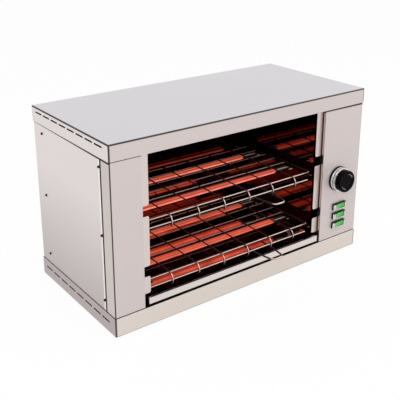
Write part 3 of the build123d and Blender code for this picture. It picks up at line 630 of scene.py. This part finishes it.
def glowing_wire(heater):
    """Wound resistance wire at red heat, dark on its leads."""
    finish = Finish("glowing_wire")
    place = finish.place()
    left, right = lit_ends()
    lit = finish.split(place)[0].within(left - 1 * MM, right + 1 * MM, 4 * MM)
    flicker = finish.noise(place, 60.0, 2.0)
    hot = finish.mix(flicker, heater.glow, tuple(0.75 * c for c in heater.glow))
    return finish.surface(
        Base_Color=finish.mix(lit, (0.16, 0.14, 0.13), (0.10, 0.03, 0.02)),
        Metallic=0.6,
        Roughness=0.45 + 0.2 * flicker,
        Emission_Color=finish.mix(lit, (0.0, 0.0, 0.0), hot),
        Emission_Strength=heater.power,
        Normal=finish.bump(flicker, 2e-5),
    )


def ceramic(heater):
    """Matt ceramic with a faint speckle."""
    finish = Finish("ceramic")
    place = finish.place()
    speckle = finish.noise(place, 900.0, 3.0)
    stain = finish.noise(place, 80.0, 2.0)
    return finish.surface(
        Base_Color=finish.mix(stain.step(0.5, 0.9), heater.cap, (0.55, 0.46, 0.38)),
        Roughness=0.55 + (speckle - 0.5) * 0.2,
        Specular_IOR_Level=0.4,
        Normal=finish.bump(speckle, 3e-5),
    )


def grip_plastic(name, shade, gloss, grain, scale=1600.0):
    """Moulded plastic with a fine grain and faint wear."""
    finish = Finish(name)
    place = finish.place()
    fine = finish.noise(place, scale, 3.0)
    wear = finish.noise(place, 90.0, 3.0)
    worn = tuple(min(1.0, 1.5 * c + 0.012) for c in shade)
    return finish.surface(
        Base_Color=finish.mix(wear.step(0.45, 0.9), shade, worn),
        Roughness=gloss + (fine - 0.5) * 0.12 + (wear - 0.5) * 0.1,
        Specular_IOR_Level=0.15,
        Normal=finish.bump(fine, grain),
    )


def knob_plastic(control):
    """Black grip whose dished face has two painted highlight arcs on its edge."""
    finish = Finish("knob_plastic")
    place = finish.place()
    x, y, z = finish.split(place)
    low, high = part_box("knob")
    u, w = x - (low.x + high.x) / 2, z - (low.z + high.z) / 2
    radius = (u * u + w * w).math("SQRT")
    lean = abs(u * 0.62 + w * 0.78) / radius
    # Painted highlight: two arcs on the face's edge, at the upper right and lower left
    line = radius.within(ARC_INNER, ARC_OUTER, 0.2 * MM)
    face = y.step(low.y + 1.2 * MM, low.y + 1.1 * MM)
    fine = finish.noise(place, 1600.0, 3.0)
    return finish.surface(
        Base_Color=finish.mix(line * lean.step(0.84, 0.92) * face, control.knob, control.arc_highlight),
        Roughness=0.2 + (fine - 0.5) * 0.1,
        Specular_IOR_Level=0.04,
        Normal=finish.bump(fine, 1e-5),
    )


def bright_chrome(control):
    """Polished chrome with faint turning lines and painted shade in the groove round its middle.
    """
    finish = Finish("bright_chrome")
    place = finish.place()
    y = finish.split(place)[1]
    turned = finish.noise(finish.join(0.0, y * 5000.0, 0.0), 1.0, 1.0)
    smudge = finish.noise(place, 120.0, 2.0)
    low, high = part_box("knob_ring")
    # Painted shade darkens the groove round the ring's middle
    groove = ((y - low.y) / (high.y - low.y)).within(0.38, 0.62, 0.02)
    return finish.surface(
        Base_Color=finish.mix(groove, control.chrome, (0.012, 0.01, 0.01)),
        Metallic=0.5,
        Roughness=0.14 + smudge * 0.08,
        Normal=finish.bump(turned, 4e-6),
    )


def lit_lens(name, control, box):
    """Green rocker lens, lit from behind, with moulded ribs and a pale raised end."""
    finish = Finish(name)
    place = finish.place()
    x, _, z = finish.split(place)
    low, high = box
    along = (x - low.x) / (high.x - low.x)
    up = (z - low.z) / (high.z - low.z)
    pale = along.step(0.05, 0.03)
    lamp = (1 - abs(along - 0.42) * 2.2) * (1 - abs(up - 0.45) * 1.2)
    ribs = finish.wire(
        "TexVoronoi", None, {"Vector": place, "Scale": 620.0}, output="Distance"
    )
    dim = tuple(0.25 * c for c in control.lens)
    glow = finish.mix((lamp + (ribs - 0.4) * 0.25).clamped(), dim, control.lens)
    return finish.surface(
        Base_Color=finish.mix(pale, control.lens, control.lens_end),
        Roughness=0.12 + pale * 0.1 + ribs * 0.05,
        Coat_Weight=0.2,
        Emission_Color=finish.mix(pale, glow, (0.05, 0.07, 0.05)),
        Emission_Strength=0.45,
        Normal=finish.bump(ribs, 6e-5, 0.6),
    )


def bezel_plastic(control):
    """Black switch housing whose bezel's front frame carries a painted pale highlight, left black
    along its top edge as painted shade.
    """
    finish = Finish("bezel_plastic")
    place = finish.place()
    _, y, z = finish.split(place)
    ny = finish.facing()[1]
    fine = finish.noise(place, 1600.0, 3.0)
    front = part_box("switch_housing_1")[0].y
    # Painted highlight on the bezel's front face, cut off under each top edge by painted shade
    face = y.step(front + 0.3 * MM, front + 0.2 * MM) * ny.step(-0.8, -0.9)
    for i in ROCKERS:
        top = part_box(f"switch_housing_{i}")[1].z
        brow_shade = z.step(top - 2.0 * MM, top - 1.8 * MM) * z.step(top + 0.3 * MM, top)
        face = face * (1 - brow_shade)
    return finish.surface(
        Base_Color=finish.mix(face, control.bezel, control.bezel_face_highlight),
        Roughness=0.3 + (fine - 0.5) * 0.12,
        Specular_IOR_Level=0.08,
        Normal=finish.bump(fine, 1.5e-5),
    )


def plated_steel(name, shade, roughness):
    """Plated steel with fine grain."""
    finish = Finish(name)
    place = finish.place()
    fine = finish.noise(place, 1800.0, 2.0)
    bloom = finish.noise(place, 110.0, 3.0)
    return finish.surface(
        Base_Color=finish.mix(bloom.step(0.4, 0.8), shade, tuple(0.6 * c for c in shade)),
        Metallic=0.9,
        Roughness=roughness + (fine - 0.5) * 0.15,
        Normal=finish.bump(fine, 8e-6),
    )


def add_piece(name, mesh_maker, material, body, replaced):
    """Make a mesh piece, smooth it, and hang it on its body in place of some nodes."""
    mesh = bpy.data.meshes.new(name)
    shape = bmesh.new()
    mesh_maker(shape)
    bmesh.ops.recalc_face_normals(shape, faces=shape.faces)
    shape.to_mesh(mesh)
    shape.free()
    mesh.materials.append(material)
    piece = bpy.data.objects.new(name, mesh)
    bpy.context.scene.collection.objects.link(piece)
    for face in mesh.polygons:
        face.use_smooth = True
    mesh.set_sharp_from_angle(angle=math.radians(35))
    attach(piece, body)
    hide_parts(*replaced)


def join_rings(shape, rings):
    """Skin a run of rings of vertices and cap both ends."""
    count = len(rings[0])
    for first, second in zip(rings, rings[1:]):
        for i in range(count):
            j = (i + 1) % count
            shape.faces.new((first[i], first[j], second[j], second[i]))
    shape.faces.new(rings[0])
    shape.faces.new(rings[-1])


def sweep_wire(shape, points, radii, sides):
    """Sweep a round wire along points, with a radius at each."""
    rings = []
    for i, point in enumerate(points):
        ahead = points[min(i + 1, len(points) - 1)]
        behind = points[max(i - 1, 0)]
        along = (ahead - behind).normalized()
        across = along.cross(Vector((0.0, 0.13, 1.0))).normalized()
        over = along.cross(across)
        ring = []
        for k in range(sides):
            angle = 2 * math.pi * k / sides
            offset = radii[i] * math.cos(angle) * across + radii[i] * math.sin(angle) * over
            ring.append(shape.verts.new(point + offset))
        rings.append(ring)
    join_rings(shape, rings)


def wound_coil(shape, node, heater):
    """A lead, a wound coil and a lead along a heating tube's axis."""
    low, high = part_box(node)
    centre = (low + high) / 2
    left, right = lit_ends()
    turn_radius = (high.z - low.z) / 2 - heater.wire_radius
    turns = (right - left) / heater.pitch
    count = int(turns * heater.steps)

    def at(x, angle=0.0, radius=0.0):
        """A point at some angle and distance from the axis."""
        around, above = radius * math.sin(angle), radius * math.cos(angle)
        return Vector((x, centre.y + around, centre.z + above))

    points = [at(low.x), at(left - LEAD_BEND)]
    for i in range(count + 1):
        angle = 2 * math.pi * turns * i / count
        points.append(at(left + (right - left) * i / count, angle, turn_radius))
    points += [at(right + LEAD_BEND), at(high.x)]
    radii = [LEAD_RADIUS] * 2 + [heater.wire_radius] * (count + 1) + [LEAD_RADIUS] * 2
    sweep_wire(shape, points, radii, heater.sides)


def clusters(node, reach):
    """The boxes of a node's separate solids, found by how near their points are."""
    found = []
    for vertex in nodes[node].data.vertices:
        for box in found:
            if all(box[0][k] - reach < vertex.co[k] < box[1][k] + reach for k in range(3)):
                box[0] = Vector(map(min, box[0], vertex.co))
                box[1] = Vector(map(max, box[1], vertex.co))
                break
        else:
            found.append([vertex.co.copy(), vertex.co.copy()])
    return found


def cross_screw(shape, seat, out, head_radius, shank_length, recess):
    """A pan-head screw with a cross in its head, seated at a point and facing out."""
    turn = Vector((0, 0, 1)).rotation_difference(Vector(out)).to_matrix()
    sides = 32

    def ring(radius, height, cross=0.0):
        """A ring of points, pulled in between the arms of a cross."""
        verts = []
        for k in range(sides):
            angle = 2 * math.pi * k / sides
            arm = abs(math.sin(2 * angle))
            r = radius * (1 - cross * min(1.0, 1.6 * arm))
            local = Vector((r * math.cos(angle), r * math.sin(angle), height))
            verts.append(shape.verts.new(seat + turn @ local))
        return verts

    rings = [
        ring(SHANK_RADIUS * 0.6, -shank_length),
        ring(SHANK_RADIUS, -shank_length * 0.9),
        ring(SHANK_RADIUS, 0.0),
        ring(head_radius, 0.0),
        ring(head_radius, 0.45 * HEAD_HEIGHT),
        ring(head_radius * 0.9, 0.78 * HEAD_HEIGHT),
        ring(head_radius * 0.7, 0.96 * HEAD_HEIGHT),
        ring(head_radius * 0.52, HEAD_HEIGHT, 0.6),
        ring(head_radius * 0.45, HEAD_HEIGHT - 0.4 * recess, 0.65),
        ring(head_radius * 0.26, HEAD_HEIGHT - recess, 0.55),
    ]
    join_rings(shape, rings)


def screw_set(shape, node, out, small):
    """All the screws of one node, each where its solid is."""
    axis = Vector(out)
    for low, high in clusters(node, 4 * MM):
        size = high - low
        span = abs(axis.dot(size))
        head_radius = size.length / 4  # a little less than the solid's, for the head's round edge
        seat = (low + high) / 2 + axis * (span / 2 - HEAD_HEIGHT)
        cross_screw(shape, seat, out, head_radius, span - HEAD_HEIGHT, small.recess)


class TOASTER_OT_sheets(Operator):
    """Finish the cabinet's satin sheets"""

    bl_idname = "toaster.sheets"
    bl_label = "Cabinet sheets"

    def execute(self, context):
        coat_nodes(SHEETS, satin_steel(context.scene.toaster_cabinet))
        return {"FINISHED"}


class TOASTER_OT_cavity(Operator):
    """Finish the cavity's walls, ledges and crumb tray"""

    bl_idname = "toaster.cavity"
    bl_label = "Cavity"

    def execute(self, context):
        cavity = context.scene.toaster_cavity
        walls = polished_steel("polished_wall", cavity, tuple(cavity.mirror))
        coat_nodes(CAVITY_SHEETS[:2], walls)
        heights = cavity.band_low, cavity.band_high
        back = polished_steel("polished_back", cavity, tuple(cavity.back), *heights)
        coat_nodes(CAVITY_SHEETS[2:], back)
        coat_nodes(LEDGES, ledge_steel(cavity))
        coat_nodes(("crumb_tray",), tray_steel(cavity))
        return {"FINISHED"}


class TOASTER_OT_tubes(Operator):
    """Finish the quartz tubes and their end caps"""

    bl_idname = "toaster.tubes"
    bl_label = "Quartz tubes"

    def execute(self, context):
        heater = context.scene.toaster_heater
        coat_nodes([f"quartz_tube_{tube}" for tube in TUBES], quartz_glass(heater))
        coat_nodes([f"end_caps_{tube}" for tube in TUBES], ceramic(heater))
        return {"FINISHED"}


class TOASTER_OT_coils(Operator):
    """Wind the glowing coils inside the tubes"""

    bl_idname = "toaster.coils"
    bl_label = "Coils"

    def execute(self, context):
        heater = context.scene.toaster_heater
        material = glowing_wire(heater)
        for tube in TUBES:
            node = f"heating_coil_{tube}"
            add_piece(
                f"wound_coil_{tube}",
                lambda shape, node=node: wound_coil(shape, node, heater),
                material,
                "cabinet",
                (node,),
            )
        return {"FINISHED"}


class TOASTER_OT_racks(Operator):
    """Finish the racks and their handles"""

    bl_idname = "toaster.racks"
    bl_label = "Racks"

    def execute(self, context):
        names = [*SHELVES, *(f"{shelf}_handle" for shelf in SHELVES)]
        coat_nodes(names, chromed_wire(context.scene.toaster_wire))
        return {"FINISHED"}


class TOASTER_OT_controls(Operator):
    """Finish the knob, its ring and dial, and the switches"""

    bl_idname = "toaster.controls"
    bl_label = "Controls"

    def execute(self, context):
        control = context.scene.toaster_control
        coat_nodes(("knob",), knob_plastic(control))
        coat_nodes(("knob_ring",), bright_chrome(control))
        coat_nodes(("dial_plate",), grip_plastic("dial_plastic", tuple(control.dial), 0.4, 2e-5))
        coat_nodes([f"switch_housing_{i}" for i in ROCKERS], bezel_plastic(control))
        for i in ROCKERS:
            node = f"switch_rocker_{i}"
            coat_nodes((node,), lit_lens(f"lens_{i}", control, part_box(node)))
        return {"FINISHED"}


class TOASTER_OT_screws(Operator):
    """Put cross-head screws in the covers, the back and the feet"""

    bl_idname = "toaster.screws"
    bl_label = "Screws"

    def execute(self, context):
        small = context.scene.toaster_small
        material = plated_steel("screw_steel", tuple(small.screw), 0.3)
        for node, out in SCREWS.items():
            add_piece(
                f"cross_head_{node}",
                lambda shape, node=node, out=out: screw_set(shape, node, out, small),
                material,
                "cabinet",
                (node,),
            )
        return {"FINISHED"}


class TOASTER_OT_small_parts(Operator):
    """Finish the feet, the gland, the timer and the wiring"""

    bl_idname = "toaster.small_parts"
    bl_label = "Small parts"

    def execute(self, context):
        small = context.scene.toaster_small
        rubber = grip_plastic("foot_rubber", tuple(small.rubber), 0.7, 4e-5, 700.0)
        nylon = grip_plastic("gland_nylon", tuple(small.nylon), 0.45, 2e-5)
        sleeve = grip_plastic("lead_sleeve", tuple(small.insulation), 0.6, 4e-5, 500.0)
        block = grip_plastic("block_plastic", tuple(small.block), 0.5, 2e-5)
        coat_nodes(("rubber_feet",), rubber)
        coat_nodes(("cable_gland", "gland_nut"), nylon)
        coat_nodes(("wiring_loom",), sleeve)
        coat_nodes(("terminal_block",), block)
        coat_nodes(("timer_body",), plated_steel("timer_case", tuple(small.case), 0.35))
        coat_nodes(("timer_shaft",), plated_steel("shaft_steel", tuple(small.case), 0.25))
        return {"FINISHED"}


def studio_floor(stage):
    """A pale floor that keeps the shadow and reads as white."""
    finish = Finish("studio_floor")
    paint = finish.wire("BsdfDiffuse", None, {"Color": stage.floor})
    white = finish.wire("Emission", None, {"Color": (1.0, 1.0, 1.0), "Strength": 1.0})
    whiteness = finish.seen() * 0.93
    shader = finish.wire("MixShader", None, {0: whiteness, 1: paint, 2: white})
    finish.node("OutputMaterial", None, {"Surface": shader})
    return finish.owner


def studio_world(stage):
    """White where it is seen, and soft light on the rest."""
    world = bpy.data.worlds.new("studio_world")
    finish = Finish("studio_world", world)
    power = stage.ambient + finish.seen() * (1.0 - stage.ambient)
    light = finish.wire("Background", None, {"Color": (1.0, 1.0, 1.0), "Strength": power})
    finish.node("OutputWorld", None, {"Surface": light})
    return world


def add_square(name, size, material):
    """A flat square in the XY plane, as part of the stage."""
    mesh = bpy.data.meshes.new(name)
    half = size / 2
    corners = [(-half, -half, 0), (half, -half, 0), (half, half, 0), (-half, half, 0)]
    mesh.from_pydata(corners, [], [(0, 1, 2, 3)])
    mesh.materials.append(material)
    piece = bpy.data.objects.new(name, mesh)
    bpy.context.scene.collection.objects.link(piece)
    return piece


def add_lamp(name, place, target, size, power):
    """A large soft lamp that looks at a point."""
    lamp = bpy.data.lights.new(name, "AREA")
    lamp.shape = "SQUARE"
    lamp.size = size
    lamp.energy = power
    piece = bpy.data.objects.new(name, lamp)
    bpy.context.scene.collection.objects.link(piece)
    piece.location = place
    piece.rotation_mode = "QUATERNION"
    piece.rotation_quaternion = (Vector(target) - Vector(place)).to_track_quat("-Z", "Y")


class TOASTER_OT_stage(Operator):
    """Set up the floor, the lamps, the dark card and the camera"""

    bl_idname = "toaster.stage"
    bl_label = "Stage"

    def execute(self, context):
        scene = context.scene
        stage = scene.toaster_stage
        add_square("floor", 14.0, studio_floor(stage))
        scene.world = studio_world(stage)
        scene.view_settings.view_transform = "Standard"
        middle = (0.0, 0.0, 0.16)
        add_lamp("key_lamp", (-1.6, -1.5, 1.9), middle, 1.6, stage.key)
        add_lamp("fill_lamp", (1.7, -1.3, 1.3), middle, 1.4, stage.fill)
        self.hang_card()
        self.place_camera(scene, stage)
        return {"FINISHED"}

    def hang_card(self):
        """Hang a black card behind the racks' front wires, which only the cavity's mirrors see, so
        that it puts painted shade into their reflections.
        """
        finish = Finish("black_card")
        black = finish.wire("BsdfDiffuse", None, {"Color": (0.0, 0.0, 0.0)})
        finish.node("OutputMaterial", None, {"Surface": black})
        low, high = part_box("cavity_back_wall")
        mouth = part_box("upper_rack")[0].y + CARD_BEHIND
        card = add_square("black_card", 1.0, finish.owner)
        card.data.transform(
            Matrix.Translation(((low.x + high.x) / 2, mouth, (low.z + high.z) / 2))
            @ Matrix.Rotation(math.radians(90), 4, "X")
            @ Matrix.Diagonal((high.x - low.x, high.z - low.z, 1.0, 1.0))
        )
        # The card is a dark sheet that stands in for a dark studio in front of the opening:
        # painted shade in the reflections
        card.visible_camera = False
        card.visible_diffuse = False
        card.visible_transmission = False
        card.visible_shadow = False

    def place_camera(self, scene, stage):
        """Stand the camera where the photographer stood."""
        camera = bpy.data.cameras.new("camera")
        camera.lens = stage.lens
        camera.shift_y = stage.shift
        piece = bpy.data.objects.new("camera", camera)
        scene.collection.objects.link(piece)
        around, above = stage.azimuth, stage.elevation
        back = Vector(
            (
                math.sin(around) * math.cos(above),
                -math.cos(around) * math.cos(above),
                math.sin(above),
            )
        )
        piece.location = stage.place
        piece.rotation_mode = "QUATERNION"
        piece.rotation_quaternion = (-back).to_track_quat("-Z", "Y")
        scene.camera = piece


OPERATORS = (
    TOASTER_OT_stage,
    TOASTER_OT_sheets,
    TOASTER_OT_cavity,
    TOASTER_OT_tubes,
    TOASTER_OT_coils,
    TOASTER_OT_racks,
    TOASTER_OT_controls,
    TOASTER_OT_screws,
    TOASTER_OT_small_parts,
)


class TOASTER_PT_panel(Panel):
    """The toaster's steps and settings"""

    bl_idname = "TOASTER_PT_panel"
    bl_label = "Salamander Toaster"
    bl_space_type = "VIEW_3D"
    bl_region_type = "UI"
    bl_category = "Toaster"

    def draw(self, context):
        for operator in OPERATORS:
            self.layout.operator(operator.bl_idname)
        for name, group in GROUPS.items():
            box = self.layout.box()
            for field in group.__annotations__:
                box.prop(getattr(context.scene, name), field)


CLASSES = (*GROUPS.values(), *OPERATORS, TOASTER_PT_panel)


def register():
    """Register the classes and hang the settings on the scene."""
    for item in CLASSES:
        bpy.utils.register_class(item)
    for name, group in GROUPS.items():
        setattr(bpy.types.Scene, name, PointerProperty(type=group))


def unregister():
    """Take the settings and the classes away again."""
    for name in GROUPS:
        delattr(bpy.types.Scene, name)
    for item in reversed(CLASSES):
        bpy.utils.unregister_class(item)


def main():
    """Build the dressed toaster."""
    register()
    for operator in OPERATORS:
        family, name = operator.bl_idname.split(".")
        getattr(getattr(bpy.ops, family), name)()


if __name__ == "__main__":
    main()
